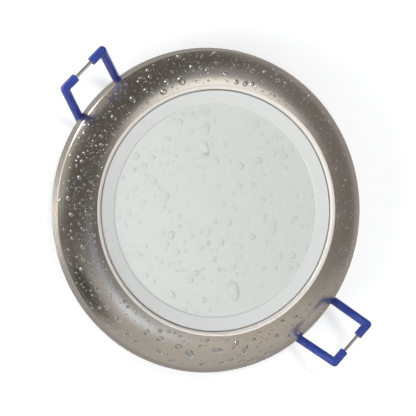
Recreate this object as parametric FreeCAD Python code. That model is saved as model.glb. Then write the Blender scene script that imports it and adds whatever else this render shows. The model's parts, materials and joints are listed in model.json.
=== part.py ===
"""Soffit downlight: a round recessed lamp held in a hole in a soffit board by two sprung wire clips.

In millimetres. The origin is the centre of the plane where the trim's rim seats on the board. +Z points
up into the soffit, so the lamp shines towards -Z. X runs through the two clips, with clip a at +X.
"""

import FreeCAD
import Part

import math
import os

V = FreeCAD.Vector
UP = V(0, 0, 1)
ALONG_X = V(1, 0, 0)
ALONG_Y = V(0, 1, 0)
ORIGIN = V(0, 0, 0)

# Trim ring
trim_diameter = 120.0
trim_depth = 9.6  # from the seat plane to the crest of the inner lip
trim_wall = 1.6
trim_face_width = 15.8  # from the trim's edge to the lens opening
rim_height = 3.2  # the steep outer side, up to the shoulder
rim_lean = 21.0  # degrees that the side leans in towards the front
shoulder_radius = 1.5
lip_radius = 1.35  # roundness of the rolled inner lip
lip_slope = 7.0  # degrees of the face where it meets the lip
lip_thickness = 2.1  # from the crest to the seat of the lens
boss_radius = 2.7
screw_count = 4

# Lens and its two gaskets
lens_border_width = 5.4  # from the lens opening to the flat disc
lens_recess = 2.5  # from the lip's crest back to the disc
lens_thickness = 1.8
lens_step = 0.3  # the bevelled border stands this far proud of the disc
lens_bevel_rise = 1.1
lens_gap = 0.35  # between the border and the lip
lens_seat_width = 1.8  # the lens flange reaches this far behind the lip
lens_flange_thickness = 1.6
gasket_thickness = 0.8
gasket_width = 1.6

# Housing, a die-cast cup with cooling fins
barrel_inset = 15.2  # from the trim's edge to the barrel's side
barrel_wall = 2.2
top_height = 20.0  # seat plane to the top plate's upper face
top_thickness = 3.0
top_rounding = 1.6
flange_thickness = 2.1
flange_inset = 0.5  # the flange's upper face lies this far below the seat plane
fin_count = 24
fin_height = 9.0
fin_thickness = 1.6
fin_end_gap = 1.5  # from the fins' outer ends to the barrel's side
fin_collar_gap = 4.0  # from the fins' inner ends to the collar
fin_corner = 3.5  # cut off each fin's outer top corner
collar_height = 4.0  # under the cable gland
collar_margin = 0.35  # the collar's radius beyond the gland's corners
pad_step = 1.6  # the flat for a clip bracket stands this far outside the barrel
pad_half_width = 11.5
riser_half_width = 7.2  # the narrower top of the flat, which the coils' legs bear on
riser_margin = 0.5  # above the ends of the legs
fin_rounding = 0.5
pad_rounding = 1.0
cast_root = 0.5  # how far a cast feature starts inside what it grows from

# Seal against the soffit board
seal_width = 4.6
seal_thickness = 2.2
seal_edge_gap = 0.3
seal_head_gap = 0.3  # to the heads of the trim's screws

# Light engine
board_inset = 8.6  # from the barrel's inside to the board's edge
board_thickness = 1.6
board_screw_inset = 6.0  # from the board's edge to the screws' centres
board_screw_count = 3
board_screw_turn = 30.0  # degrees from X to the first screw
pad_thickness = 0.5
pad_margin = 0.5  # the pad is smaller than the board
led_length = 3.5
led_width = 2.8
led_height = 0.7
led_chamfer = 0.3
led_ring_inset = 14.0  # from the board's edge to the outer ring of chips
led_counts = (6, 12)  # in the inner and the outer ring
terminal_length = 8.0
terminal_width = 6.0
terminal_height = 3.6
terminal_inset = 8.0  # from the board's edge to the terminal's centre
terminal_entry_radius = 0.9
terminal_chamfer = 0.4
terminal_button = 1.3
reflector_inset = 2.2  # from the board's edge to the reflector's inner top edge
reflector_wall = 1.2
reflector_foot = 1.0

# Cable gland
cable_radius = 3.0
cable_play = 0.5  # in the mouth of the cap
gland_bore_play = 1.0
gland_seal_wall = 1.7
gland_seal_length = 8.0
gland_body_wall = 1.3
gland_cap_wall = 1.5
gland_cap_height = 10.0
gland_cap_shoulder = 5.5  # the height where the cap starts to taper
gland_mouth_wall = 1.8
gland_mouth_chamfer = 0.6
gland_hex_height = 4.5
gland_neck_height = 6.0
gland_ring_thickness = 1.2
gland_floor = 1.0  # from the top of the hexagon to the seal's seat
gland_end_gap = 0.5  # the thread ends this far above the housing's ceiling

# Spring clips
wire_radius = 0.6
pivot_radius = 1.5
coil_play = 0.1  # a coil's inside runs this far outside the pin
coil_pitch = 1.25
coil_gap = 0.15  # from a coil to its neighbours along the pin
eye_turn = 300.0  # degrees of each coil that swing with the arm
leg_length = 6.5
bar_half_spacing = 9.55  # half the distance between the arms where they meet the outer bar
eye_half_spacing = 10.4  # the same at the pivot
arm_angle = 50.8  # degrees below the horizontal, at rest
arm_length = 37.4  # from the foot of the arm beside the pivot to the outer bar
wire_bend = 1.5
sleeve_wall = 0.95
sleeve_start = 12.0  # bare wire beside the pivot
sleeve_return = 5.6  # how far a sleeve runs along the outer bar
bracket_sheet = 1.2
bracket_half_width = 3.7
bracket_length = 20.0
ear_wall = 0.9  # round the pin
ear_root = 3.6  # half the height of an ear where it leaves the bracket's back
rivet_edge = 2.8  # from the bracket's lower end to the first rivet
rivet_spacing = 4.6
rivet_radius = 1.5
rivet_head_radius = 1.8
rivet_head_height = 1.0
rivet_floor = 0.8  # wall left behind a rivet's hole
head_lip = 0.2  # a pin head's radius beyond the coil's wire centre
head_thickness = 0.9
retainer_thickness = 0.6
retainer_slot = 0.6

# Screws
trim_screw_radius = 1.2
trim_screw_head_radius = 2.25
trim_screw_floor = 2.7  # from the level of the lip's crest to the screw's tip
board_screw_radius = 1.4
board_screw_head_radius = 2.6
board_screw_floor = 1.0  # from the top plate's upper face to the screw's tip
screw_head_height = 1.6
screw_point = 0.6
cross_slot_width = 0.7
cross_slot_depth = 0.8
cross_slot_reach = 0.6  # of the head's radius
head_rounding = 0.6  # of the head's height

# Clearances
slide_gap = 0.05  # a round piece in its hole
grip_gap = 0.02  # the retainer on the pin
free_gap = 0.2  # pieces that pass each other
rest_gap = 0.3  # a clip's sleeve over the trim's rim, and the lens in its seat
through = 200.0  # longer than anything that it cuts

# The trim's profile, as (radius, height)
trim_radius = trim_diameter / 2
lens_opening_radius = trim_radius - trim_face_width
lean = math.radians(rim_lean)
slope = math.radians(lip_slope)
lip_centre = (lens_opening_radius + lip_radius, lip_radius - trim_depth)
shoulder = (trim_radius - rim_height * math.tan(lean), -rim_height)
# The face is an arc that leaves the lip along its tangent and ends at the shoulder.
face_start = (lip_centre[0] + lip_radius * math.sin(slope), lip_centre[1] - lip_radius * math.cos(slope))
face_span = (shoulder[0] - face_start[0], shoulder[1] - face_start[1])
face_radius = (face_span[0] ** 2 + face_span[1] ** 2) / (
    2 * (face_span[1] * math.cos(slope) - face_span[0] * math.sin(slope))
)
face_hub = (face_start[0] - face_radius * math.sin(slope), face_start[1] + face_radius * math.cos(slope))


def inside_face(height):
    """The radius of the face's inner side at a height."""
    reach = face_radius - trim_wall
    return face_hub[0] + math.sqrt(reach**2 - (height - face_hub[1]) ** 2)



# The stack from the lip's seat up to the housing's flange
lip_seat_z = lip_thickness - trim_depth
lens_flange_z = lip_seat_z + gasket_thickness
lens_back_z = lens_flange_z + lens_flange_thickness
skirt_z = lens_back_z + gasket_thickness
flange_top_z = -flange_inset
flange_bottom_z = flange_top_z - flange_thickness
lens_disc_z = lens_recess - trim_depth
lens_border_radius = lens_opening_radius - lens_gap
lens_disc_radius = lens_opening_radius - lens_border_width
lens_flange_radius = lens_opening_radius + lens_seat_width

# The housing and what is screwed to it
barrel_radius = trim_radius - barrel_inset
barrel_inner_radius = barrel_radius - barrel_wall
pad_root_radius = barrel_inner_radius + free_gap
pad_face_x = barrel_radius + pad_step
flange_radius = inside_face(flange_bottom_z) - free_gap
seal_radius = flange_radius - seal_edge_gap
boss_circle_radius = seal_radius - seal_width - seal_head_gap - trim_screw_head_radius
boss_turn = 180.0 / screw_count
trim_screw_length = flange_top_z + trim_depth - trim_screw_floor
ceiling_z = top_height - top_thickness  # the underside of the top plate
board_top_z = ceiling_z - pad_thickness
board_face_z = board_top_z - board_thickness
board_radius = barrel_inner_radius - board_inset
board_screw_circle = board_radius - board_screw_inset
board_screw_length = board_thickness + pad_thickness + top_thickness - board_screw_floor
outer_led_radius = board_radius - led_ring_inset

# The cable gland, from the middle outwards and from the collar up
gland_bore_radius = cable_radius + gland_bore_play
gland_seal_radius = cable_radius + gland_seal_wall
gland_thread_radius = gland_seal_radius + gland_body_wall
gland_flat_radius = gland_thread_radius + gland_cap_wall
gland_corner_radius = gland_flat_radius / math.cos(math.radians(30))
collar_radius = gland_corner_radius + collar_margin
fin_inner_radius = collar_radius + fin_collar_gap
collar_top_z = top_height + collar_height
gland_hex_z = collar_top_z + gland_ring_thickness
gland_neck_z = gland_hex_z + gland_hex_height
gland_seal_z = gland_neck_z + gland_floor

# The clips, in the plane of X and Z
sleeve_radius = wire_radius + slide_gap + sleeve_wall
coil_mean_radius = pivot_radius + coil_play + wire_radius
ear_nose = pivot_radius + ear_wall
head_radius = coil_mean_radius + head_lip
arm_rad = math.radians(arm_angle)
arm_out = V(math.cos(arm_rad), 0, -math.sin(arm_rad))  # along the arm, towards its tip
arm_normal = V(math.sin(arm_rad), 0, math.cos(arm_rad))
pivot_x = pad_face_x + coil_mean_radius + wire_radius + free_gap
# Each arm passes the rim's edge by rest_gap, which sets the pivot's height.
arm_to_edge = sleeve_radius + rest_gap + coil_mean_radius
edge_x = math.sqrt(trim_radius**2 - bar_half_spacing**2)
pivot_z = ((edge_x - pivot_x) * math.sin(arm_rad) + arm_to_edge) / math.cos(arm_rad)
pivot = V(pivot_x, 0, pivot_z)
arm_foot = pivot - arm_normal * coil_mean_radius
bracket_face_x = pad_face_x + bracket_sheet
bracket_top_z = pivot_z + ear_root
bracket_foot_z = bracket_top_z - bracket_length
first_rivet_z = bracket_foot_z + rivet_edge
rivet_depth = pad_face_x - barrel_inner_radius - rivet_floor
head_y = eye_half_spacing + wire_radius + coil_gap  # the inner faces of the pin's head and its retainer


def ring(inner, outer, low, high):
    """A plain ring about Z."""
    body = Part.makeCylinder(outer, high - low, V(0, 0, low))
    return body.cut(Part.makeCylinder(inner, high - low, V(0, 0, low)))


def block(low, high):
    """A box between two corners."""
    size = V(*high) - V(*low)
    return Part.makeBox(size.x, size.y, size.z, V(*low))


def line(a, b):
    """An edge in the plane of X and Z."""
    return Part.LineSegment(V(a[0], 0, a[1]), V(b[0], 0, b[1])).toShape()


def arc(a, middle, b):
    """An arc through three points in the plane of X and Z."""
    points = [V(p[0], 0, p[1]) for p in (a, middle, b)]
    return Part.Arc(*points).toShape()


def outline(edges):
    return Part.Face(Part.Wire(Part.__sortEdges__(edges)))


def spin(edges):
    """Turns a closed outline about Z."""
    return outline(edges).revolve(ORIGIN, UP, 360)


def spin_points(points):
    closed = points + points[:1]
    return spin([line(a, b) for a, b in zip(closed, closed[1:])])


def around(shape, count, first=0.0):
    """Copies of a shape at even angles about Z."""
    copies = []
    for step in range(count):
        copy = shape.copy()
        copy.rotate(ORIGIN, UP, first + 360.0 * step / count)
        copies.append(copy)
    return copies


def opposite(shape):
    return around(shape, 1, 180.0)[0]


def edges_at(shape, height, radius):
    """The round edges at this height and radius."""
    return [
        edge
        for edge in shape.Edges
        if edge.BoundBox.ZLength < 1e-3
        and abs(edge.BoundBox.ZMax - height) < 1e-3
        and abs(edge.valueAt(edge.FirstParameter).distanceToPoint(V(0, 0, height)) - radius) < 1e-3
    ]


def fuse_all(shapes):
    return shapes[0].multiFuse(shapes[1:]).removeSplitter()


def cut_all(body, cutters):
    for cutter in cutters:
        body = body.cut(cutter)
    return body


def pipe(edges, radius, corners=0):
    """A round bar along a path of tangent edges, or with corners=2 round the corners of its path."""
    first = edges[0].FirstParameter
    circle = Part.makeCircle(radius, edges[0].valueAt(first), edges[0].tangentAt(first))
    return Part.Wire(edges).makePipeShell([Part.Wire(circle)], True, corners == 0, corners)


# Trim ring


def on_face(radius, part):
    """The point this part of the way along the face's arc, at this distance from its hub."""
    first = math.atan2(face_start[1] - face_hub[1], face_start[0] - face_hub[0])
    last = math.atan2(shoulder[1] - face_hub[1], shoulder[0] - face_hub[0])
    angle = first + (last - first) * part
    return face_hub[0] + radius * math.cos(angle), face_hub[1] + radius * math.sin(angle)


def trim_outside():
    """The trim's outside as a filled ring, up to the seat plane."""
    half = (math.radians(90.0) - slope) / 2
    lip_middle = (lip_centre[0] - lip_radius * math.sin(half), lip_centre[1] - lip_radius * math.cos(half))
    lip_end = (lens_opening_radius, lip_centre[1])
    body = spin(
        [
            line((trim_radius, 0), shoulder),
            arc(shoulder, on_face(face_radius, 0.5), face_start),
            arc(face_start, lip_middle, lip_end),
            line(lip_end, (lens_opening_radius, 0)),
            line((lens_opening_radius, 0), (trim_radius, 0)),
        ]
    )
    return body.makeFillet(shoulder_radius, edges_at(body, shoulder[1], shoulder[0]))


def trim_cavity():
    """The hollow behind the face, down to the seat of the lens."""
    reach = face_radius - trim_wall
    seat_end = (inside_face(lip_seat_z), lip_seat_z)
    inner_shoulder = on_face(reach, 1.0)
    inner_rim = (trim_radius - trim_wall / math.cos(lean), 0)
    bowl = spin(
        [
            line((0, lip_seat_z), seat_end),
            arc(seat_end, on_face(reach, 0.7), inner_shoulder),
            line(inner_shoulder, inner_rim),
            line(inner_rim, (0, 0)),
            line((0, 0), (0, lip_seat_z)),
        ]
    )
    return bowl


def trim_ring():
    outside = trim_outside()
    boss_height = trim_depth + flange_bottom_z
    boss = Part.makeCylinder(boss_radius, boss_height, V(boss_circle_radius, 0, -trim_depth))
    bosses = [post.common(outside) for post in around(boss, screw_count, boss_turn)]
    body = fuse_all([outside.cut(trim_cavity())] + bosses)
    depth = trim_screw_length - flange_thickness + rest_gap
    hole = Part.makeCylinder(
        trim_screw_radius + slide_gap, depth, V(boss_circle_radius, 0, flange_bottom_z - depth)
    )
    return cut_all(body, around(hole, screw_count, boss_turn))


# Lens and gaskets


def diffuser_lens():
    border_z = lens_disc_z - lens_step
    crest_z = border_z - lens_bevel_rise
    back_z = lens_disc_z + lens_thickness
    return spin_points(
        [
            (0, lens_disc_z),
            (lens_disc_radius, lens_disc_z),
            (lens_disc_radius + lens_step, border_z),
            (lens_border_radius - lens_step, crest_z),
            (lens_border_radius, crest_z + lens_step),
            (lens_border_radius, lens_flange_z),
            (lens_flange_radius, lens_flange_z),
            (lens_flange_radius, lens_back_z),
            (lens_disc_radius + lens_thickness, lens_back_z),
            (lens_disc_radius, back_z),
            (0, back_z),
        ]
    )


def lens_gasket_front():
    return ring(lens_flange_radius - gasket_width, lens_flange_radius, lip_seat_z, lens_flange_z)


def lens_gasket_rear():
    return ring(barrel_inner_radius + free_gap, lens_flange_radius, lens_back_z, skirt_z)


# Housing


def cooling_fins():
    outer = barrel_radius - fin_end_gap
    low, top = top_height - cast_root, top_height + fin_height
    half = fin_thickness / 2
    points = [
        V(fin_inner_radius, -half, low),
        V(outer, -half, low),
        V(outer, -half, top - fin_corner),
        V(outer - fin_corner, -half, top),
        V(fin_inner_radius, -half, top),
    ]
    fin = Part.Face(Part.makePolygon(points + points[:1])).extrude(ALONG_Y * fin_thickness)
    rim = [edge for edge in fin.Edges if edge.BoundBox.ZMax > top_height and edge.BoundBox.YLength < half]
    return around(fin.makeFillet(fin_rounding, rim), fin_count, 180.0 / fin_count)


def outer_edges(shape):
    """The upright and the upper edges of a block's face towards +X."""
    box = shape.BoundBox
    return [
        edge
        for edge in shape.Edges
        if edge.BoundBox.XMin > box.Center.x and edge.BoundBox.ZMax > box.Center.z
    ]


def bracket_pad():
    """The flat for a clip's bracket, with the riser above it."""
    riser_top_z = pivot_z + leg_length + riser_margin
    pad = block((0, -pad_half_width, flange_top_z - cast_root), (pad_face_x, pad_half_width, top_height))
    riser = block((0, -riser_half_width, ceiling_z), (pad_face_x, riser_half_width, riser_top_z))
    rounded = [part.makeFillet(pad_rounding, outer_edges(part)) for part in (pad, riser)]
    return fuse_all(rounded).cut(Part.makeCylinder(pad_root_radius, through, V(0, 0, -through / 2)))


def rivet_holes():
    holes = []
    for step in range(2):
        start = V(pad_face_x - rivet_depth, 0, first_rivet_z + step * rivet_spacing)
        holes.append(Part.makeCylinder(rivet_radius + slide_gap, through, start, ALONG_X))
    return holes


def board_screw_holes(gap, low, high):
    hole = Part.makeCylinder(board_screw_radius + gap, high - low, V(board_screw_circle, 0, low))
    return around(hole, board_screw_count, board_screw_turn)


def heatsink_housing():
    skirt_radius = lens_flange_radius + slide_gap
    cup = spin_points(
        [
            (0, ceiling_z),
            (barrel_inner_radius, ceiling_z),
            (barrel_inner_radius, skirt_z),
            (skirt_radius, skirt_z),
            (skirt_radius, flange_bottom_z),
            (flange_radius, flange_bottom_z),
            (flange_radius, flange_top_z),
            (barrel_radius, flange_top_z),
            (barrel_radius, top_height),
            (0, top_height),
        ]
    )
    cup = cup.makeFillet(top_rounding, edges_at(cup, top_height, barrel_radius))
    pad = bracket_pad()
    collar = Part.makeCylinder(collar_radius, collar_height + cast_root, V(0, 0, top_height - cast_root))
    collar = collar.makeFillet(fin_rounding, edges_at(collar, collar_top_z, collar_radius))
    body = fuse_all([cup, pad, opposite(pad), collar] + cooling_fins())
    gland_hole = Part.makeCylinder(gland_thread_radius + slide_gap, through, V(0, 0, board_top_z))
    screw_hole = Part.makeCylinder(
        trim_screw_radius + free_gap, flange_thickness, V(boss_circle_radius, 0, flange_bottom_z)
    )
    board_holes = board_screw_holes(slide_gap, ceiling_z, top_height - board_screw_floor + free_gap)
    rivets = rivet_holes()
    cutters = [gland_hole] + around(screw_hole, screw_count, boss_turn) + board_holes
    return cut_all(body, cutters + rivets + [opposite(hole) for hole in rivets])


def soffit_seal():
    return ring(seal_radius - seal_width, seal_radius, flange_top_z, flange_top_z + seal_thickness)


# Light engine


def led_board():
    board = ring(gland_bore_radius, board_radius, board_face_z, board_top_z)
    return cut_all(board, board_screw_holes(free_gap, board_face_z, board_top_z))


def thermal_pad():
    pad = ring(gland_thread_radius + pad_margin, board_radius - pad_margin, board_top_z, ceiling_z)
    return cut_all(pad, board_screw_holes(free_gap, board_top_z, ceiling_z))


def led_chips():
    chips = []
    for step, count in enumerate(led_counts, start=1):
        radius = outer_led_radius * step / len(led_counts)
        chip = block(
            (radius - led_length / 2, -led_width / 2, board_face_z - led_height),
            (radius + led_length / 2, led_width / 2, board_face_z),
        )
        upright = [edge for edge in chip.Edges if edge.BoundBox.ZLength > led_height / 2]
        chips += around(chip.makeChamfer(led_chamfer, upright), count)
    return Part.Compound(chips)


def wire_terminal():
    """A push-in terminal with two entries that face the cable gland and a release button over each."""
    middle = board_radius - terminal_inset
    near, far = middle - terminal_width / 2, middle + terminal_width / 2
    low = board_face_z - terminal_height
    body = block((-terminal_length / 2, near, low), (terminal_length / 2, far, board_face_z))
    edges = [edge for edge in body.Edges if edge.BoundBox.ZMax < low + terminal_chamfer]
    body = body.makeChamfer(terminal_chamfer, edges)
    half = terminal_button / 2
    for x in (-terminal_length / 4, terminal_length / 4):
        entry = Part.makeCylinder(
            terminal_entry_radius, terminal_width - 2 * half, V(x, near, low + terminal_height / 2), ALONG_Y
        )
        button = block((x - half, middle, low), (x + half, middle + terminal_button, low + half))
        body = body.cut(entry).cut(button)
    return body


def reflector():
    top_z = board_face_z - slide_gap
    low_z = lens_back_z + slide_gap
    top_radius = board_radius - reflector_inset
    foot = barrel_inner_radius - free_gap
    low_radius = foot - reflector_wall - reflector_foot
    return spin_points(
        [
            (top_radius, top_z),
            (low_radius, low_z),
            (foot, low_z),
            (foot, low_z + reflector_foot),
            (low_radius + reflector_wall, low_z + reflector_foot),
            (top_radius + reflector_wall, top_z),
        ]
    )


# Screws


def cross_head_screw(radius, length, head):
    """A pan-head screw with its head's seat at the origin and its shank along -Z."""
    shank = Part.makeCylinder(radius, length - screw_point, V(0, 0, screw_point - length))
    point = Part.makeCone(radius / 2, radius, screw_point, V(0, 0, -length))
    cap = Part.makeCylinder(head, screw_head_height)
    rim = [edge for edge in cap.Edges if edge.BoundBox.ZMin > screw_head_height / 2]
    cap = cap.makeFillet(screw_head_height * head_rounding, rim)
    body = fuse_all([point, shank, cap])
    half, reach = cross_slot_width / 2, head * cross_slot_reach
    low = screw_head_height - cross_slot_depth
    slots = [
        block((-reach, -half, low), (reach, half, screw_head_height)),
        block((-half, -reach, low), (half, reach, screw_head_height)),
    ]
    return cut_all(body, slots)


def trim_screws():
    screw = cross_head_screw(trim_screw_radius, trim_screw_length, trim_screw_head_radius)
    screw.translate(V(boss_circle_radius, 0, flange_top_z))
    return Part.Compound(around(screw, screw_count, boss_turn))


def board_screws():
    screw = cross_head_screw(board_screw_radius, board_screw_length, board_screw_head_radius)
    screw.rotate(ORIGIN, ALONG_X, 180)
    screw.translate(V(board_screw_circle, 0, board_face_z))
    return Part.Compound(around(screw, board_screw_count, board_screw_turn))


# Cable gland


def hexagon(low, high):
    turns = [math.radians(60 * corner) for corner in range(7)]
    points = [
        V(gland_corner_radius * math.cos(turn), gland_corner_radius * math.sin(turn), low) for turn in turns
    ]
    return Part.Face(Part.makePolygon(points)).extrude(UP * (high - low))


def gland_ring():
    return ring(gland_thread_radius + slide_gap, gland_flat_radius - free_gap, collar_top_z, gland_hex_z)


def gland_body():
    low = ceiling_z + gland_end_gap
    high = gland_neck_z + gland_neck_height
    shank = Part.makeCylinder(gland_thread_radius, high - low, V(0, 0, low))
    body = fuse_all([shank, hexagon(gland_hex_z, gland_neck_z)])
    bore = Part.makeCylinder(gland_bore_radius, through, V(0, 0, low))
    pocket = Part.makeCylinder(gland_seal_radius + slide_gap, through, V(0, 0, gland_seal_z))
    return cut_all(body, [bore, pocket])


def gland_seal():
    return ring(cable_radius, gland_seal_radius, gland_seal_z, gland_seal_z + gland_seal_length)


def gland_cap():
    low = gland_neck_z + free_gap
    high = low + gland_cap_height
    mouth_radius = cable_radius + cable_play
    dome = spin_points(
        [
            (0, low),
            (gland_corner_radius, low),
            (gland_corner_radius, low + gland_cap_shoulder),
            (gland_thread_radius + gland_cap_wall / 2, low + gland_cap_shoulder + gland_cap_wall),
            (mouth_radius + gland_mouth_wall + gland_mouth_chamfer, high - gland_mouth_chamfer),
            (mouth_radius + gland_mouth_wall, high),
            (0, high),
        ]
    )
    thread = Part.makeCylinder(gland_thread_radius + slide_gap, gland_neck_height, V(0, 0, low))
    seat_top_z = gland_seal_z + gland_seal_length
    seat = Part.makeCylinder(gland_seal_radius + slide_gap, seat_top_z - low, V(0, 0, low))
    mouth = Part.makeCylinder(mouth_radius, through, V(0, 0, low))
    return cut_all(hexagon(low, high).common(dome), [thread, seat, mouth])


# Spring clips, made at +X and copied to -X


def clip_bracket():
    """A channel with a long back, riveted to the housing, and two ears that hold the pin."""
    low, high = pivot_z - ear_root, bracket_top_z
    back = block(
        (pad_face_x, -bracket_half_width, bracket_foot_z), (bracket_face_x, bracket_half_width, high)
    )
    under, over = (pivot_x, pivot_z - ear_nose), (pivot_x, pivot_z + ear_nose)
    side = outline(
        [
            line((pad_face_x, low), (bracket_face_x, low)),
            line((bracket_face_x, low), under),
            arc(under, (pivot_x + ear_nose, pivot_z), over),
            line(over, (bracket_face_x, high)),
            line((bracket_face_x, high), (pad_face_x, high)),
            line((pad_face_x, high), (pad_face_x, low)),
        ]
    )
    ears = []
    for start in (-bracket_half_width, bracket_half_width - bracket_sheet):
        ear = side.extrude(ALONG_Y * bracket_sheet)
        ear.translate(ALONG_Y * start)
        ears.append(ear)
    pin_hole = Part.makeCylinder(pivot_radius + slide_gap, through, pivot - ALONG_Y * through / 2, ALONG_Y)
    return cut_all(fuse_all([back] + ears), [pin_hole] + rivet_holes())


def bracket_rivets():
    seat = V(bracket_face_x, 0, first_rivet_z)
    head = Part.makeCylinder(rivet_head_radius, rivet_head_height, seat, ALONG_X)
    rim = [edge for edge in head.Edges if edge.BoundBox.XMin > bracket_face_x + rivet_head_height / 2]
    head = head.makeFillet(rivet_head_height * head_rounding, rim)
    length = bracket_face_x - pad_face_x + rivet_depth - free_gap
    shank = Part.makeCylinder(rivet_radius, length, seat, -ALONG_X)
    lower = fuse_all([shank, head])
    upper = lower.copy()
    upper.translate(UP * rivet_spacing)
    return Part.Compound([lower, upper])


def clip_pin():
    """The hinge pin, with its head towards -Y."""
    end = head_y + head_thickness
    pin = Part.makeCylinder(pivot_radius, 2 * end, pivot - ALONG_Y * end, ALONG_Y)
    head = Part.makeCylinder(head_radius, head_thickness, pivot - ALONG_Y * end, ALONG_Y)
    rim = [edge for edge in head.Edges if edge.BoundBox.YMax < head_thickness / 2 - end]
    return fuse_all([pin, head.makeFillet(head_thickness * head_rounding, rim)])


def pin_retainer():
    """A push-on washer with three slots that grips the pin's plain end."""
    start = pivot + ALONG_Y * head_y
    washer = Part.makeCylinder(head_radius, retainer_thickness, start, ALONG_Y)
    bore = Part.makeCylinder(pivot_radius + grip_gap, retainer_thickness, start, ALONG_Y)
    slot = block((-retainer_slot / 2, 0, 0), (retainer_slot / 2, retainer_thickness, coil_mean_radius))
    slot.translate(start)
    slots = []
    for turn in range(3):
        copy = slot.copy()
        copy.rotate(start, ALONG_Y, 120.0 * turn)
        slots.append(copy)
    return cut_all(washer, [bore] + slots)


def arm_line(side):
    """An arm's centreline, from the eye to the corner, and its direction."""
    start = arm_foot + ALONG_Y * side * eye_half_spacing
    corner = arm_foot + arm_out * arm_length + ALONG_Y * side * bar_half_spacing
    return start, corner, (corner - start).normalize()


def eye_arc(side):
    """Most of a turn round the pin, as three points of which the last is the arm's foot."""
    foot, _, along = arm_line(side)
    points = []
    for turn in (eye_turn, eye_turn / 2, 0.0):
        angle = math.radians(turn)
        outward = along * -math.sin(angle) - arm_normal * math.cos(angle)
        points.append(foot + (arm_normal + outward) * coil_mean_radius)
    return points


def corner_arc(side):
    """The bend from an arm into the outer bar: its start on the arm, its middle and its end on the bar."""
    _, corner, along = arm_line(side)
    across = ALONG_Y * -side
    half = math.acos(-along.dot(across)) / 2
    inward = (across - along).normalize()
    reach = wire_bend / math.tan(half)
    middle = corner + inward * (wire_bend / math.sin(half) - wire_bend)
    return corner - along * reach, middle, corner + across * reach


def clip_wire():
    """The loop that swings: two arms, the outer bar and the turn of each coil next to its arm."""
    left, right = corner_arc(-1), corner_arc(1)
    path = [
        Part.Arc(*eye_arc(-1)).toShape(),
        Part.LineSegment(arm_line(-1)[0], left[0]).toShape(),
        Part.Arc(*left).toShape(),
        Part.LineSegment(left[2], right[2]).toShape(),
        Part.Arc(*reversed(right)).toShape(),
        Part.LineSegment(right[0], arm_line(1)[0]).toShape(),
        Part.Arc(*reversed(eye_arc(1))).toShape(),
    ]
    return pipe(path, wire_radius)


def clip_sleeves():
    """Two vinyl tubes, each over one arm, round the corner and along part of the outer bar."""
    tubes = []
    for side in (-1, 1):
        foot, corner, along = arm_line(side)
        bend = corner_arc(side)
        start, end = foot + along * sleeve_start, corner - ALONG_Y * side * sleeve_return
        outside = [Part.LineSegment(start, corner).toShape(), Part.LineSegment(corner, end).toShape()]
        inside = [
            Part.LineSegment(start, bend[0]).toShape(),
            Part.Arc(*bend).toShape(),
            Part.LineSegment(bend[2], end).toShape(),
        ]
        tubes.append(pipe(outside, sleeve_radius, 2).cut(pipe(inside, wire_radius + slide_gap)))
    return Part.Compound(tubes)


def clip_coils():
    """The turns that stay put beside the bracket, each with the leg that bears on the housing."""
    leg_drift = leg_length * coil_pitch / (2 * math.pi * coil_mean_radius)
    first = bracket_half_width + wire_radius + coil_gap + leg_drift
    last = eye_half_spacing - 2 * wire_radius - coil_gap
    helix = Part.makeHelix(coil_pitch, last - first, coil_mean_radius, 0, True)
    helix.rotate(ORIGIN, ALONG_X, -90)
    helix.rotate(ORIGIN, ALONG_Y, 180)
    helix.translate(pivot + ALONG_Y * first)
    coil = helix.Edges[0]
    start, heading = coil.valueAt(coil.FirstParameter), coil.tangentAt(coil.FirstParameter)
    leg = Part.LineSegment(start - heading * leg_length, start).toShape()
    spring = pipe([leg, coil], wire_radius)
    return Part.Compound([spring, spring.mirror(ORIGIN, ALONG_Y)])


single_parts = [
    trim_ring,
    trim_screws,
    lens_gasket_front,
    diffuser_lens,
    lens_gasket_rear,
    reflector,
    led_board,
    led_chips,
    wire_terminal,
    thermal_pad,
    board_screws,
    heatsink_housing,
    soffit_seal,
    gland_ring,
    gland_body,
    gland_seal,
    gland_cap,
]
clip_parts = {
    "bracket": clip_bracket,
    "rivets": bracket_rivets,
    "pin": clip_pin,
    "pin_retainer": pin_retainer,
    "wire": clip_wire,
    "sleeves": clip_sleeves,
    "coils": clip_coils,
}


def save(name, shape):
    assert shape.isValid() and shape.Solids, name
    shape.exportStep(os.path.join("parts", name + ".step"))
    print(f"{name}: {len(shape.Solids)} solid(s), {shape.Volume:.1f} mm3")


def main():
    os.makedirs("parts", exist_ok=True)
    for make in single_parts:
        save(make.__name__, make())
    for name, make in clip_parts.items():
        shape = make()
        save("clip_a_" + name, shape)
        save("clip_b_" + name, opposite(shape))
    print(f"pivot: x {pivot_x:.4f}, z {pivot_z:.4f}")


main()
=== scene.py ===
# Soffit downlight, seen from below and a little to one side, with rain on its face.
# Objects are in metres, in the CAD frame: +Z goes up into the soffit, and the lens looks down.
# Finishes and rain are worked out in millimetres.
import json
import math
import random

import bpy
from mathutils import Matrix, Vector

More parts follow.
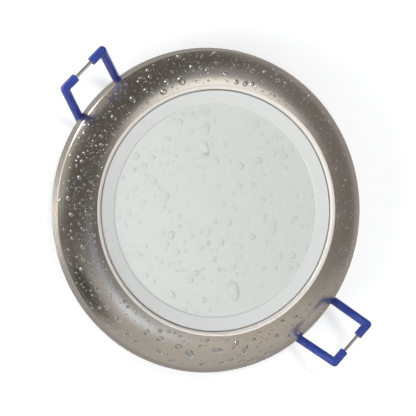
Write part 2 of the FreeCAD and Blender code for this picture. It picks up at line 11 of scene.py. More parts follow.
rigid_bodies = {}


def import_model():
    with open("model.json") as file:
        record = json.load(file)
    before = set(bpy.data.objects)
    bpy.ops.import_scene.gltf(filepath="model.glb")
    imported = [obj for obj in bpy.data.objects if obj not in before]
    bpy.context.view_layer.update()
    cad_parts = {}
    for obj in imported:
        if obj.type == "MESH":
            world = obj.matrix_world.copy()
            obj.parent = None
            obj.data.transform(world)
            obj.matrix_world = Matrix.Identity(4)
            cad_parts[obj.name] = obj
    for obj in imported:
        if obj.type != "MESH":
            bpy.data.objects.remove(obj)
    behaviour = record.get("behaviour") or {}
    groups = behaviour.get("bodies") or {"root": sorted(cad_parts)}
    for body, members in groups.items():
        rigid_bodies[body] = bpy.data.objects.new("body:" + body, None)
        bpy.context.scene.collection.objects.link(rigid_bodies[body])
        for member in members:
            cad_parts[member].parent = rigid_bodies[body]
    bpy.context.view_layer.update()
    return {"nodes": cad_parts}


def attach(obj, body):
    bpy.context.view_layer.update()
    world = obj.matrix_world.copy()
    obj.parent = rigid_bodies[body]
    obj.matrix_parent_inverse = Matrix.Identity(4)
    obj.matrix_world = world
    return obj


for old in list(bpy.data.objects):
    bpy.data.objects.remove(old)
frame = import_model()
nodes = frame["nodes"]
scene = bpy.context.scene
scene.view_settings.view_transform = "Standard"
mm = 0.001
print("frame:", len(nodes), "nodes")


cameraView = {
    "place": (0.12777, -0.11185, -0.49995),
    "back": (0.24198, -0.21184, -0.94687),      # the line of sight, from the lamp back to the camera
    "up": (0.69330, 0.72047, 0.01599),
    "nudge": (-0.00219, 0.00165),               # aim, right of and above the line of sight
    "lens": 123.67,
    "near": 0.01,
    "far": 50.0,
}


def makeCamera(view):
    back = Vector(view["back"]).normalized()
    right = Vector(view["up"]).cross(back).normalized()
    up = back.cross(right)
    aimRight, aimUp = view["nudge"]
    ahead = (right * aimRight + up * aimUp - back).normalized()
    side = ahead.cross(up).normalized()
    turn = Matrix((side, side.cross(ahead), -ahead)).transposed().to_4x4()
    data = bpy.data.cameras.new("camera")
    data.lens = view["lens"]
    data.clip_start = view["near"]
    data.clip_end = view["far"]
    camera = bpy.data.objects.new("camera", data)
    camera.matrix_world = Matrix.Translation(view["place"]) @ turn
    scene.collection.objects.link(camera)
    scene.camera = camera
    return right, up, back


sightRight, sightUp, sightBack = makeCamera(cameraView)
print("camera: in place")


def toward(rightAngle, upAngle):
    # a direction that many degrees right of and above the line back to the camera
    spread = math.radians(math.hypot(rightAngle, upAngle))
    turn = math.atan2(upAngle, rightAngle)
    across = sightRight * math.cos(turn) + sightUp * math.sin(turn)
    return sightBack * math.cos(spread) + across * math.sin(spread)


class Link:
    # a node's output that can stand in an expression
    def __init__(self, board, socket):
        self.board = board
        self.socket = socket

    def calc(self, operation, *others):
        return self.board.node("ShaderNodeMath", {"operation": operation}, dict(enumerate((self, *others))))

    def __add__(self, other):
        return self.calc("ADD", other)

    def __sub__(self, other):
        return self.calc("SUBTRACT", other)

    def __rsub__(self, other):
        return self.board.node("ShaderNodeMath", {"operation": "SUBTRACT"}, {0: other, 1: self})

    def __mul__(self, other):
        return self.calc("MULTIPLY", other)

    def __truediv__(self, other):
        return self.calc("DIVIDE", other)

    def __pow__(self, other):
        return self.calc("POWER", other)

    __radd__ = __add__
    __rmul__ = __mul__


class Board:
    # the node tree of one material or of the world
    def __init__(self, tree):
        self.tree = tree
        tree.nodes.clear()

    def node(self, kind, settings=None, values=None, output=0):
        made = self.tree.nodes.new(kind)
        for name, value in (settings or {}).items():
            setattr(made, name, value)
        for name, value in (values or {}).items():
            if isinstance(value, Link):
                self.tree.links.new(value.socket, made.inputs[name])
            else:
                made.inputs[name].default_value = value
        return Link(self, made.outputs[output]) if made.outputs else made

    def blend(self, amount, low, high):
        return self.node("ShaderNodeMix", {"data_type": "RGBA"}, {0: amount, 6: low, 7: high}, output=2)

    def step(self, value, start, end):
        # 0 before start, 1 past end, soft between them
        return self.node("ShaderNodeMapRange", {"interpolation_type": "SMOOTHSTEP"},
                         {"Value": value, "From Min": start, "From Max": end})

    def place(self):
        # the piece's own coordinates, in millimetres
        spot = self.node("ShaderNodeTexCoord", output="Object")
        return self.node("ShaderNodeVectorMath", {"operation": "SCALE"}, {0: spot, "Scale": 1 / mm})

    def stretch(self, vector, along):
        # a small number on an axis draws a pattern out along it
        return self.node("ShaderNodeVectorMath", {"operation": "MULTIPLY"}, {0: vector, 1: along})

    def parts(self, vector):
        first = self.node("ShaderNodeSeparateXYZ", values={0: vector})
        return [Link(self, first.socket.node.outputs[axis]) for axis in range(3)]

    def join(self, x, y, z):
        return self.node("ShaderNodeCombineXYZ", values={0: x, 1: y, 2: z})

    def noise(self, vector, scale, detail=3.0, rough=0.55):
        return self.node("ShaderNodeTexNoise", values={
            "Vector": vector, "Scale": scale, "Detail": detail, "Roughness": rough})

    def cells(self, vector, scale):
        return self.node("ShaderNodeTexVoronoi", values={"Vector": vector, "Scale": scale})

    def bump(self, height, depth, strength):
        return self.node("ShaderNodeBump", values={
            "Height": height, "Distance": depth * mm, "Strength": strength})

    def surface(self, values):
        shader = self.node("ShaderNodeBsdfPrincipled", values=values)
        self.node("ShaderNodeOutputMaterial", values={"Surface": shader})


def shade(red, green, blue):
    return (red, green, blue, 1.0)


def grey(level):
    return shade(level, level, level)


def fromAxis(x, y):
    # distance from the lamp's axis
    return (x * x + y * y) ** 0.5


def newFinish(name):
    material = bpy.data.materials.new(name)
    material.use_nodes = True
    return material, Board(material.node_tree)


def satinNickel():
    look = {
        "metal": shade(0.66, 0.60, 0.52), "worn": shade(0.70, 0.635, 0.55), "wornAt": (0.35, 0.75),
        "lip": shade(0.95, 0.91, 0.84), "lipDull": 0.75,      # painted highlight: the rolled lip is painted pale and made less of a mirror, in place of the highlights its curve gathers
        "lipRadius": (45.3, 45.9), "lipHeight": (-7.6, -7.4),
        "rough": 0.19, "roughSpread": 0.10, "roughClouds": 0.03,
        "drawnOut": 0.25,                       # how far the gloss is drawn out along the brushing
        "brushAround": 7.0, "brushAcross": 5.0, "brushRise": 0.4, "cloudScale": 0.09, "grainScale": 6.0,
        "bump": (0.006, 0.5),                   # depth in millimetres, and strength
    }
    material, b = newFinish("satinNickel")
    point = b.place()
    x, y, z = b.parts(point)
    radius = fromAxis(x, y)
    turns = look["brushAround"]
    around = b.join(x / radius * turns, y / radius * turns, z * look["brushRise"])
    strokes = b.node("ShaderNodeTexNoise", {"noise_dimensions": "4D"}, {
        "Vector": around, "W": radius * look["brushAcross"] + z * look["brushAcross"],
        "Scale": 1.0, "Detail": 4.0, "Roughness": 0.65})
    clouds = b.noise(point, look["cloudScale"], 2.0)
    grain = b.noise(point, look["grainScale"], 2.0)
    # painted highlight: where the rolled lip is, the nickel turns pale and less metallic, standing in for
    # the highlights its curve gathers
    lip = (1 - b.step(radius, *look["lipRadius"])) * (1 - b.step(z, *look["lipHeight"]))
    face = b.blend(b.step(clouds, *look["wornAt"]), look["metal"], look["worn"])
    b.surface({
        "Base Color": b.blend(lip, face, look["lip"]), "Metallic": 1 - look["lipDull"] * lip,
        "Roughness": look["rough"] + look["roughSpread"] * strokes + look["roughClouds"] * clouds,
        "Anisotropic": look["drawnOut"],
        "Normal": b.bump(strokes * 0.8 + grain * 0.2, *look["bump"])})
    return material


def opalAcrylic():
    look = {
        "disc": shade(0.775, 0.79, 0.765), "cloudy": shade(0.755, 0.77, 0.745), "cloudiness": 0.5,
        "border": shade(0.775, 0.785, 0.772), "borderAt": (38.7, 39.2),
        # painted shade: a darker ring painted where the flat disc steps down to the border
        "line": shade(0.68, 0.70, 0.69), "lineFrom": (38.4, 38.85), "lineTo": (39.0, 39.3),
        "lineDepth": 0.6,
        "bend": 1.49,                           # how strongly it bends light
        "rough": 0.28, "roughSpread": 0.10, "bump": (0.01, 0.4),
        "cloudScale": 0.10, "cloudAt": (0.3, 0.7), "fineScale": 3.0,
    }
    material, b = newFinish("opalAcrylic")
    point = b.place()
    x, y, z = b.parts(point)
    radius = fromAxis(x, y)
    border = b.step(radius, *look["borderAt"])
    # painted shade at the step between the disc and the border
    line = b.step(radius, *look["lineFrom"]) * (1 - b.step(radius, *look["lineTo"]))
    clouds = b.step(b.noise(point, look["cloudScale"]), *look["cloudAt"])
    disc = b.blend(clouds * look["cloudiness"], look["disc"], look["cloudy"])
    face = b.blend(border, disc, look["border"])
    fine = b.noise(point, look["fineScale"])
    b.surface({
        "Base Color": b.blend(line * look["lineDepth"], face, look["line"]),
        "Roughness": look["rough"] + look["roughSpread"] * fine, "IOR": look["bend"],
        "Normal": b.bump(fine, *look["bump"])})
    return material


def castAluminium():
    look = {
        "metal": shade(0.54, 0.55, 0.56), "skin": shade(0.42, 0.425, 0.435), "skinAt": (0.45, 0.85),
        "metallic": 0.85, "rough": 0.42, "roughSpread": 0.16, "bump": (0.05, 0.6),
        "sandScale": 2.6, "flowLines": (0.05, 0.05, 0.22), "pitScale": 1.1, "pitEdge": (0.05, 0.16),
    }
    material, b = newFinish("castAluminium")
    point = b.place()
    sand = b.noise(point, look["sandScale"], 4.0, 0.62)
    flow = b.noise(b.stretch(point, look["flowLines"]), 1.0, 4.0)
    pits = b.step(b.cells(point, look["pitScale"]), *look["pitEdge"])
    b.surface({
        "Base Color": b.blend(b.step(flow + sand * 0.3, *look["skinAt"]), look["skin"], look["metal"]),
        "Metallic": look["metallic"], "Roughness": look["rough"] + look["roughSpread"] * sand,
        "Normal": b.bump(sand * 0.6 + pits * 0.25 + flow * 0.3, *look["bump"])})
    return material


def foamSeal():
    look = {
        # painted shade: the pores are painted darker than the foam's skin
        "poreShade": shade(0.016, 0.017, 0.018), "skin": shade(0.045, 0.046, 0.048),
        "poreScale": 2.2, "blotchScale": 0.3, "rough": 0.86, "roughSpread": 0.10, "bump": (0.12, 0.7),
    }
    material, b = newFinish("foamSeal")
    point = b.place()
    pores = b.cells(point, look["poreScale"])
    blotches = b.noise(point, look["blotchScale"])
    b.surface({
        # pores painted darker: painted shade in the foam's hollows
        "Base Color": b.blend(pores * 0.8 + blotches * 0.2, look["poreShade"], look["skin"]),
        "Roughness": look["rough"] + look["roughSpread"] * blotches,
        "Normal": b.bump(pores, *look["bump"])})
    return material


steels = {
    # darkest and lightest tone, roughness, and how the brush marks run along X, Y and Z
    "stainless": (grey(0.52), grey(0.64), 0.24, (0.5, 9.0, 0.5)),
    "screwSteel": (grey(0.50), grey(0.66), 0.22, (3.0, 3.0, 3.0)),
    "springWire": (shade(0.66, 0.64, 0.60), shade(0.84, 0.82, 0.78), 0.20, (0.6, 6.0, 0.6)),
}


def brushedSteel(name):
    look = {"smearScale": 0.35, "strokeRough": 0.14, "smearRough": 0.05, "bump": (0.010, 0.6)}
    low, high, rough, along = steels[name]
    material, b = newFinish(name)
    point = b.place()
    strokes = b.noise(b.stretch(point, along), 1.0, 4.0, 0.6)
    smear = b.noise(point, look["smearScale"])
    b.surface({
        "Base Color": b.blend(smear * 0.6 + strokes * 0.4, low, high),
        "Metallic": 1.0, "Roughness": rough + look["strokeRough"] * strokes + look["smearRough"] * smear,
        "Normal": b.bump(strokes, *look["bump"])})
    return material


def blueVinyl():
    look = {
        "deep": shade(0.018, 0.040, 0.27), "lit": shade(0.030, 0.062, 0.36), "litAt": (0.3, 0.7),
        "cloudScale": 0.55, "skinScale": 4.0, "rough": 0.32, "roughSpread": 0.16, "bend": 1.53,
        "coat": 0.5, "coatRough": 0.16, "bump": (0.03, 0.6),
    }
    material, b = newFinish("blueVinyl")
    point = b.place()
    clouds = b.noise(point, look["cloudScale"])
    skin = b.noise(point, look["skinScale"], 4.0)
    b.surface({
        "Base Color": b.blend(b.step(clouds, *look["litAt"]), look["deep"], look["lit"]),
        "Roughness": look["rough"] + look["roughSpread"] * skin, "IOR": look["bend"],
        "Coat Weight": look["coat"], "Coat Roughness": look["coatRough"],
        "Normal": b.bump(skin * 0.5 + clouds, *look["bump"])})
    return material


plastics = {
    # darkest and lightest tone, roughness, and the scale of the grain
    "silicone": (grey(0.34), grey(0.42), 0.48, 1.6),
    "glandRubber": (grey(0.018), grey(0.034), 0.62, 2.2),
    "blackNylon": (grey(0.020), grey(0.036), 0.36, 5.0),
    "whitePlastic": (grey(0.76), grey(0.84), 0.36, 3.0),
    "thermalPad": (shade(0.34, 0.37, 0.42), shade(0.42, 0.45, 0.50), 0.72, 2.0),
}


def mouldedPlastic(name):
    look = {"cloudScale": 0.12, "roughSpread": 0.12, "bump": (0.03, 0.6)}
    low, high, rough, grainScale = plastics[name]
    material, b = newFinish(name)
    point = b.place()
    grain = b.noise(point, grainScale, 4.0, 0.6)
    clouds = b.noise(point, look["cloudScale"], 2.0)
    b.surface({
        "Base Color": b.blend(grain * 0.5 + clouds * 0.5, low, high),
        "Roughness": rough + look["roughSpread"] * grain, "Normal": b.bump(grain, *look["bump"])})
    return material


def circuitBoard():
    # white solder mask over ring-shaped copper tracks
    look = {
        "mask": shade(0.80, 0.80, 0.76), "track": shade(0.72, 0.71, 0.64), "trackWaves": 1.9,
        "trackEdge": (0.05, 0.2), "mottleScale": 3.0, "rough": 0.34, "roughSpread": 0.1,
        "bump": (0.035, 0.7),
    }
    material, b = newFinish("circuitBoard")
    point = b.place()
    x, y, z = b.parts(point)
    tracks = b.step((fromAxis(x, y) * look["trackWaves"]).calc("SINE"), *look["trackEdge"])
    mottle = b.noise(point, look["mottleScale"])
    b.surface({
        "Base Color": b.blend(tracks * 0.5 + mottle * 0.2, look["mask"], look["track"]),
        "Roughness": look["rough"] + look["roughSpread"] * mottle,
        "Normal": b.bump(tracks + mottle * 0.1, *look["bump"])})
    return material


def ledPackage():
    # phosphor in a white bowl; the grain is the phosphor powder
    look = {
        "low": shade(0.80, 0.60, 0.08), "high": shade(0.90, 0.76, 0.20), "powderScale": 9.0,
        "rough": 0.35, "roughSpread": 0.2, "bump": (0.02, 0.5),
    }
    material, b = newFinish("ledPackage")
    powder = b.noise(b.place(), look["powderScale"])
    b.surface({
        "Base Color": b.blend(powder, look["low"], look["high"]),
        "Roughness": look["rough"] + look["roughSpread"] * powder,
        "Normal": b.bump(powder, *look["bump"])})
    return material


steel, screwSteel, spring = [brushedSteel(name) for name in steels]
rubber, glandRubber, nylon, whitePlastic, gapPad = [mouldedPlastic(name) for name in plastics]
vinyl = blueVinyl()
finishOf = {
    "trim_ring": satinNickel(), "trim_screws": screwSteel, "lens_gasket_front": rubber,
    "lens_gasket_rear": rubber, "diffuser_lens": opalAcrylic(), "reflector": whitePlastic,
    "led_board": circuitBoard(), "led_chips": ledPackage(), "wire_terminal": whitePlastic,
    "thermal_pad": gapPad, "board_screws": screwSteel, "heatsink_housing": castAluminium(),
    "soffit_seal": foamSeal(), "gland_ring": glandRubber, "gland_body": nylon, "gland_seal": glandRubber,
    "gland_cap": nylon,
}
clipFinishes = {
    "bracket": steel, "rivets": screwSteel, "pin": screwSteel, "pin_retainer": screwSteel,
    "wire": spring, "coils": spring, "sleeves": vinyl,
}
for clip in ("clip_a_", "clip_b_"):
    for piece, finish in clipFinishes.items():
        finishOf[clip + piece] = finish
for name, node in nodes.items():
    for holder in node.material_slots:
        holder.material = finishOf[name]
print("finishes:", len(finishOf), "pieces")


rain = {
    "seed": 11,
    "sides": 14, "rings": 4,
    "sunk": 0.05,                               # a drop's underside lies this far inside its surface
    "underside": 0.97,                          # and is this much of its outline
    "ripple": 0.09, "taper": 0.28,              # most that an outline waves and narrows
    "spacing": 1.25,                            # nearest that two drops come, in their sizes added up
}
trimRain = {
    "hub": (43.004, 12.484), "reach": 22.239,   # centre and radius of the domed face's arc
    "lift": 0.60, "lifts": (0.55, 0.80),        # a drop's height by its size: single, and in a field
    "mostlySmall": 1.8, "longer": 0.35,
    # fields of small drops: first and last angle, nearest and farthest radius, sizes, how many tries
    "fields": [
        (-95, 46, 46.8, 57.8, 0.42, 0.85, 110),
        (-95, 42, 46.4, 58.0, 0.16, 0.42, 1100),
        (42, 100, 46.8, 57.8, 0.35, 0.70, 36),
        (42, 100, 46.4, 58.0, 0.15, 0.38, 320),
        (100, 182, 46.6, 57.8, 0.30, 0.60, 34),
        (100, 182, 46.4, 58.0, 0.14, 0.32, 300),
        (182, 262, 47.2, 57.4, 0.50, 1.05, 60),
        (182, 265, 46.6, 57.8, 0.16, 0.42, 220),
    ],
    # single drops: angle, radius, size, stretch, turn of the long side
    "singles": [
        (48.8, 50.0, 1.1, 1.2, 20), (53.8, 47.3, 1.0, 1.0, 0), (58.1, 47.5, 1.1, 1.2, 60),
        (61.4, 48.2, 0.9, 1.3, 80), (71.9, 53.4, 1.0, 1.2, 10), (60.6, 53.1, 0.9, 1.3, 40),
        (28.9, 49.1, 1.6, 1.15, 100), (19.5, 47.6, 1.2, 1.1, 0), (22.6, 50.2, 1.1, 1.2, 70),
        (41.1, 51.0, 1.1, 1.2, 90), (6.7, 51.3, 1.1, 1.35, 80), (-3.9, 51.5, 0.95, 1.35, 80),
        (13.2, 51.2, 0.9, 1.2, 100), (15.1, 49.3, 0.7, 1.1, 0), (35.0, 52.6, 1.0, 1.5, 100),
        (38.2, 49.3, 0.9, 1.3, 60), (66.0, 50.6, 0.8, 1.2, 20), (-102.4, 51.6, 1.3, 1.3, 95),
        (-108.8, 51.2, 1.3, 1.1, 60), (-117.1, 51.6, 1.35, 1.1, 80), (-122.6, 53.2, 1.8, 1.25, 130),
        (-111.1, 55.6, 1.2, 1.3, 150), (-117.4, 57.0, 1.0, 1.6, 10), (-90.2, 53.7, 1.0, 1.4, 20),
        (-86.5, 47.9, 0.9, 1.1, 0), (-97.0, 55.6, 1.1, 1.3, 60), (-141.7, 49.9, 1.35, 1.6, 60),
        (-146.0, 52.5, 1.5, 1.5, 70), (-133.8, 51.0, 1.4, 1.7, 170), (-149.1, 57.2, 1.3, 1.8, 10),
        (-154.8, 57.0, 1.0, 1.4, 20), (-160.3, 52.0, 1.1, 1.1, 40), (-165.2, 54.9, 1.0, 1.3, 30),
        (-165.3, 47.9, 0.9, 1.2, 90), (-171.4, 49.9, 1.0, 1.1, 0), (-170.3, 56.1, 1.0, 1.3, 0),
        (-179.5, 50.4, 0.95, 1.2, 30), (171.0, 51.5, 0.8, 1.2, 60), (-58.3, 52.1, 0.8, 1.2, 0),
        (-75.8, 52.9, 0.9, 1.5, 10), (-144.2, 56.6, 1.0, 1.4, 20), (-129.1, 56.5, 1.2, 1.5, 40),
        (-136.8, 55.8, 1.05, 1.4, 20), (-126.0, 49.6, 0.7, 1.0, 0),
    ],
}
lensRain = {
    "disc": -7.1, "discRadius": 39.0,           # height and radius of the flat disc
    "border": -7.4, "borderRadius": 39.1, "borderSlope": 0.247,
    "lift": 0.26, "lifts": (0.34, 0.50),
    "mostlySmall": 1.5, "longer": 0.4,
    # fields: nearest and farthest from the middle, sizes, how many tries
    "fields": [
        (0, 36.8, 0.85, 1.45, 60),
        (0, 37.8, 0.35, 0.85, 420),
        (0, 37.9, 0.18, 0.35, 380),
        (39.8, 42.6, 0.2, 0.4, 12),
    ],
    # single drops: x, y, size, stretch, turn of the long side
    "singles": [
        (-24.9, -16.6, 2.6, 1.5, 25), (24.1, 18.2, 1.9, 1.3, 60), (32.0, 18.1, 1.4, 1.1, 0),
        (19.9, 12.8, 2.3, 1.5, 15), (13.3, 12.6, 1.6, 1.2, 30), (17.6, -10.3, 1.5, 1.3, 80),
        (11.7, 33.3, 1.5, 1.1, 0), (28.8, 22.6, 1.6, 1.2, 120),
    ],
}


def faceOfTrim(angle, radius):
    # the domed face near a point, as a function of millimetres along it and outwards
    hubRadius, hubHeight = trimRain["hub"]
    lean = math.asin((radius - hubRadius) / trimRain["reach"])
    turn = math.radians(angle)

    def surfaceAt(along, outward):
        tilt = lean + outward / trimRain["reach"]
        swing = turn + along / radius
        reach = hubRadius + trimRain["reach"] * math.sin(tilt)
        flat = Vector((math.cos(swing), math.sin(swing), 0))
        spot = flat * reach + Vector((0, 0, hubHeight - trimRain["reach"] * math.cos(tilt)))
        return spot, flat * math.sin(tilt) - Vector((0, 0, math.cos(tilt)))
    return surfaceAt


def faceOfLens(x, y):
    radius = math.hypot(x, y)
    level = lensRain["disc"]
    if radius >= lensRain["discRadius"]:
        level = lensRain["border"] - lensRain["borderSlope"] * (radius - lensRain["borderRadius"])

    def surfaceAt(along, outward):
        return Vector((x + along, y + outward, level)), Vector((0, 0, -1))
    return surfaceAt


def addDrop(points, faces, surfaceAt, size, lift, stretch, turn, draw):
    # a low dome with an uneven outline
    sides, rings = rain["sides"], rain["rings"]
    ripple = rain["ripple"]
    waves = [(k, draw.uniform(0, ripple) / (k - 1) ** 0.5, draw.uniform(0, math.tau)) for k in (2, 3, 4)]
    taper = draw.uniform(0, rain["taper"]) * (stretch - 1)
    start = len(points)
    bend = math.radians(turn)
    ball = (1 + lift * lift) / (2 * lift)       # radius of the dome's sphere, for a unit size

    def put(share, way, height):
        edge = share * (1 + sum(a * math.cos(k * way + c) for k, a, c in waves) * share)
        long = edge * math.cos(way) * stretch
        wide = edge * math.sin(way) * (1 - taper * math.cos(way) * share) / stretch ** 0.5
        along = (long * math.cos(bend) - wide * math.sin(bend)) * size
        outward = (long * math.sin(bend) + wide * math.cos(bend)) * size
        spot, normal = surfaceAt(along, outward)
        points.append((spot + normal * height) * mm)

    put(0, 0, lift * size)
    for ring in range(1, rings + 1):
        share = math.sin(ring / rings * math.pi / 2)
        height = (math.sqrt(max(ball * ball - share * share, 0)) - (ball - lift)) * size
        for side in range(sides):
            put(share, side / sides * math.tau, height)
    for side in range(sides):
        put(rain["underside"], side / sides * math.tau, -rain["sunk"])
    put(0, 0, -rain["sunk"])
    firstRing = start + 1
    lastRing = firstRing + rings * sides
    for side in range(sides):
        after = (side + 1) % sides
        faces.append((start, firstRing + after, firstRing + side))
        for ring in range(rings):
            near = firstRing + ring * sides
            faces.append((near + side, near + after, near + sides + after, near + sides + side))
        faces.append((lastRing + side, lastRing + after, lastRing + sides))


def hasRoom(taken, size, x, y):
    # keeps drops from running into each other
    if any((x - a) ** 2 + (y - b) ** 2 < (rain["spacing"] * (size + c)) ** 2 for a, b, c in taken):
        return False
    taken.append((x, y, size))
    return True


def polar(angle, radius):
    return radius * math.cos(angle), radius * math.sin(angle)


def dropShape(look, draw, low, high):
    size = low + (high - low) * draw.random() ** look["mostlySmall"]
    return size, 1 + look["longer"] * draw.random() ** 2, draw.uniform(0, 180)


def rainOnTrim(look):
    draw = random.Random(rain["seed"])
    spots, taken = [], []
    for angle, radius, size, stretch, turn in look["singles"]:
        hasRoom(taken, size * stretch, *polar(math.radians(angle), radius))
        spots.append((faceOfTrim(angle, radius), size, look["lift"], stretch, turn))
    for first, last, inner, outer, low, high, count in look["fields"]:
        for attempt in range(count):
            angle, radius = draw.uniform(first, last), draw.uniform(inner, outer)
            size, stretch, turn = dropShape(look, draw, low, high)
            if hasRoom(taken, size * stretch, *polar(math.radians(angle), radius)):
                spots.append((faceOfTrim(angle, radius), size, draw.uniform(*look["lifts"]), stretch, turn))
    return spots


def rainOnLens(look):
    draw = random.Random(rain["seed"] + 1)
    spots, taken = [], []
    for x, y, size, stretch, turn in look["singles"]:
        hasRoom(taken, size * stretch, x, y)
        spots.append((faceOfLens(x, y), size, look["lift"], stretch, turn))
    for inner, outer, low, high, count in look["fields"]:
        for attempt in range(count):
            angle = draw.uniform(0, math.tau)
            radius = math.sqrt(draw.uniform(inner ** 2, outer ** 2))
            size, stretch, turn = dropShape(look, draw, low, high)
            x, y = polar(angle, radius)
            if hasRoom(taken, size * stretch, x, y):
                spots.append((faceOfLens(x, y), size, draw.uniform(*look["lifts"]), stretch, turn))
    return spots


def waterFinish(name, onLens):
    look = {
        "clear": grey(0.84), "deepDropShade": grey(0.76),     # painted shade: the water is tinted grey, patchy with a noise, so the drops read darker
        "blotchScale": 1.3, "rough": 0.02, "roughSpread": 0.03, "bend": 1.36,
        "sheen": 1.0, "sheenRough": 0.28, "sheenBend": 1.42,
        "rim": (0.08, 0.40),                    # on the lens only a drop's steep rim bends the light
        "through": 0.34,                        # and this much light gets to what lies under it
    }
    material, b = newFinish(name)
    blotches = b.noise(b.place(), look["blotchScale"], 2.0)
    # painted shade: the grey base colour darkens the light that passes through each drop
    water = b.node("ShaderNodeBsdfPrincipled", values={
        "Base Color": b.blend(blotches, look["deepDropShade"], look["clear"]),
        "Roughness": look["rough"] + look["roughSpread"] * blotches, "IOR": look["bend"],
        "Transmission Weight": 1.0, "Coat Weight": look["sheen"], "Coat Roughness": look["sheenRough"],
        "Coat IOR": look["sheenBend"]})
    if onLens:
        gap = b.node("ShaderNodeBsdfTransparent")
        rim = b.step(b.node("ShaderNodeLayerWeight", values={"Blend": 0.5}, output="Facing"), *look["rim"])
        water = b.node("ShaderNodeMixShader", values={0: rim, 1: gap, 2: water})
        lampRay = b.node("ShaderNodeLightPath", output="Is Shadow Ray")
        bounced = b.node("ShaderNodeLightPath", output="Is Diffuse Ray")
        water = b.node("ShaderNodeMixShader", values={
            0: look["through"] * lampRay.calc("MAXIMUM", bounced), 1: water, 2: gap})
    b.node("ShaderNodeOutputMaterial", values={"Surface": water})
    return material


def makeRain(name, spots, finish):
    draw = random.Random(rain["seed"])
    points, faces = [], []
    for surfaceAt, size, lift, stretch, turn in spots:
        addDrop(points, faces, surfaceAt, size, lift, stretch, turn, draw)
    data = bpy.data.meshes.new(name)
    data.from_pydata(points, [], faces)
    data.polygons.foreach_set("use_smooth", [True] * len(faces))
    data.materials.append(finish)
    piece = bpy.data.objects.new(name, data)
    scene.collection.objects.link(piece)
    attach(piece, "lamp")


trimSpots, lensSpots = rainOnTrim(trimRain), rainOnLens(lensRain)
makeRain("trim_drops", trimSpots, waterFinish("waterOnNickel", onLens=False))
makeRain("lens_drops", lensSpots, waterFinish("waterOnLens", onLens=True))
print("rain:", len(trimSpots), "drops on the trim,", len(lensSpots), "on the lens")


room = {
    "base": shade(0.115, 0.11, 0.105),
    "right": (shade(0.21, 0.205, 0.20), 0.35, 0.70),          # colour, and where it starts and is full
    "below": (shade(0.54, 0.54, 0.53), 0.18, 0.52),
    "sky": grey(0.38), "paleSky": grey(0.48),
    "paleSide": (0.0, 0.75), "paleHeight": (0.42, 0.66),      # the sky is paler low down on the left
    "skyline": (-0.03, 0.06),
    # soft patches: degrees right and up of the line back to the camera, inner and outer size, colour
    "patches": [
        (38, -38, 8, 30, shade(0.62, 0.60, 0.57)),
        (-60, 12, 8, 22, shade(0.50, 0.54, 0.50)),
        (-32, -40, 8, 22, shade(0.035, 0.035, 0.035)),
        (38, 40, 2, 20, shade(0.34, 0.35, 0.36)),
        (36, 17, 5, 20, shade(1.60, 1.64, 1.68)),
        (3, -14, 1, 11, shade(0.40, 0.46, 0.56)),
        (10, -31, 2, 10, shade(1.25, 1.45, 1.80)),
        (22, -31, 2, 10, shade(0.85, 0.95, 1.10)),
        (-84, 10, 6, 24, shade(1.30, 1.32, 1.35)),
    ],
    "background": grey(1.0),                    # what the camera sees past the stage
}


def makeRoom(look):
    world = bpy.data.worlds.new("room")
    world.use_nodes = True
    scene.world = world
    b = Board(world.node_tree)
    way = b.node("ShaderNodeTexCoord", output="Generated")

    def facing(direction):
        return b.node("ShaderNodeVectorMath", {"operation": "DOT_PRODUCT"},
                      {0: way, 1: tuple(direction)}, output="Value")

    colour = look["base"]
    for name, direction in (("right", sightRight), ("below", -sightUp)):
        tone, start, full = look[name]
        colour = b.blend(b.step(facing(direction), start, full), colour, tone)
    height = b.parts(way)[2]
    pale = b.step(facing(-sightRight), *look["paleSide"]) * (1 - b.step(height, *look["paleHeight"]))
    sky = b.blend(pale, look["sky"], look["paleSky"])
    colour = b.blend(b.step(height, *look["skyline"]), colour, sky)
    for rightAngle, upAngle, inner, outer, tone in look["patches"]:
        near = b.step(facing(toward(rightAngle, upAngle)),
                      math.cos(math.radians(outer)), math.cos(math.radians(inner)))
        colour = b.blend(near, colour, tone)
    seen = b.node("ShaderNodeLightPath", output="Is Camera Ray")
    shader = b.node("ShaderNodeBackground", values={"Color": b.blend(seen, colour, look["background"])})
    b.node("ShaderNodeOutputWorld", values={"Surface": shader})


makeRoom(room)
print("room:", len(room["patches"]), "patches")


lamps = {
    # direction, distance, width, watts, shown in reflections, the pieces it lights (none named: all)
    "keyLamp": (toward(16, 18), 1.2, 0.34, 4.15, False, ()),
    "fillLamp": (toward(-46, -22), 0.34, 0.26, 0.92, False, ()),
    "windowLamp": (toward(-56, 52), 1.0, 0.25, 4.2, True, ("trim_ring", "sleeves", "drops")),
    "sparkleLamp": (toward(-42, 42), 1.0, 0.25, 20.0, True, ("drops",)),
    "topLamp": (Vector((0.35, -0.45, 0.82)).normalized(), 1.2, 0.60, 5.6, True, ()),
    "rearLamp": (Vector((-0.55, 0.45, 0.70)).normalized(), 1.2, 0.80, 3.0, True, ()),
}


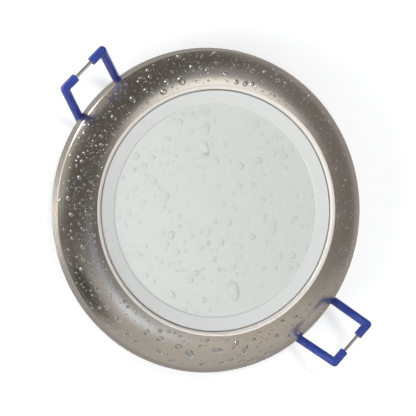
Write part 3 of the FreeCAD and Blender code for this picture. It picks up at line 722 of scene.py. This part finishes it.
def makeLamp(name, direction, distance, width, watts, mirrored, lights):
    data = bpy.data.lights.new(name, "AREA")
    data.shape = "DISK"
    data.size = width
    data.energy = watts
    lamp = bpy.data.objects.new(name, data)
    turn = direction.to_track_quat("Z", "Y").to_matrix().to_4x4()
    lamp.matrix_world = Matrix.Translation(direction * distance) @ turn
    lamp.visible_camera = False
    lamp.visible_glossy = mirrored
    lamp.visible_transmission = False
    scene.collection.objects.link(lamp)
    if lights:
        lit = bpy.data.collections.new(name)
        for piece in scene.objects:
            if piece.type == "MESH" and piece.name.endswith(lights):
                lit.objects.link(piece)
        lamp.light_linking.receiver_collection = lit


for name, values in lamps.items():
    makeLamp(name, *values)
print("lamps:", len(lamps))


stage = {
    "backdrop": (0.012, -1),                    # height, and the way it faces: down, for a view from below
    "floor": (-0.0137, 1),                      # up, for a view from above
    "reach": 3.0,
    "tone": grey(0.86), "glow": 0.42, "white": grey(1.0),
    "fade": (110.0, 420.0),                     # past the shadow it turns plain white
}


def stageFinish(name, look):
    material, b = newFinish(name)
    x, y, z = b.parts(b.place())
    far = b.step(fromAxis(x, y), *look["fade"])
    matt = b.node("ShaderNodeBsdfDiffuse", values={"Color": look["tone"]})
    glow = b.node("ShaderNodeEmission", values={"Color": look["white"], "Strength": look["glow"]})
    ground = b.node("ShaderNodeAddShader", values={0: matt, 1: glow})
    white = b.node("ShaderNodeEmission", values={"Color": look["white"], "Strength": 1.0})
    shown = b.node("ShaderNodeMixShader", values={0: far, 1: ground, 2: white})
    seen = b.node("ShaderNodeLightPath", output="Is Camera Ray")
    front = 1 - b.node("ShaderNodeNewGeometry", output="Backfacing")
    clear = b.node("ShaderNodeBsdfTransparent")
    b.node("ShaderNodeOutputMaterial", values={
        "Surface": b.node("ShaderNodeMixShader", values={0: seen * front, 1: clear, 2: shown})})
    return material


def makeStage(name, look):
    height, up = look[name]
    reach = look["reach"]
    corners = [(reach * u, reach * v * up, height) for u, v in ((-1, -1), (1, -1), (1, 1), (-1, 1))]
    data = bpy.data.meshes.new(name)
    data.from_pydata(corners, [], [(0, 1, 2, 3)])
    data.materials.append(stageFinish(name, look))
    plane = bpy.data.objects.new(name, data)
    scene.collection.objects.link(plane)


for name in ("backdrop", "floor"):
    makeStage(name, stage)
print("stage: backdrop and floor")
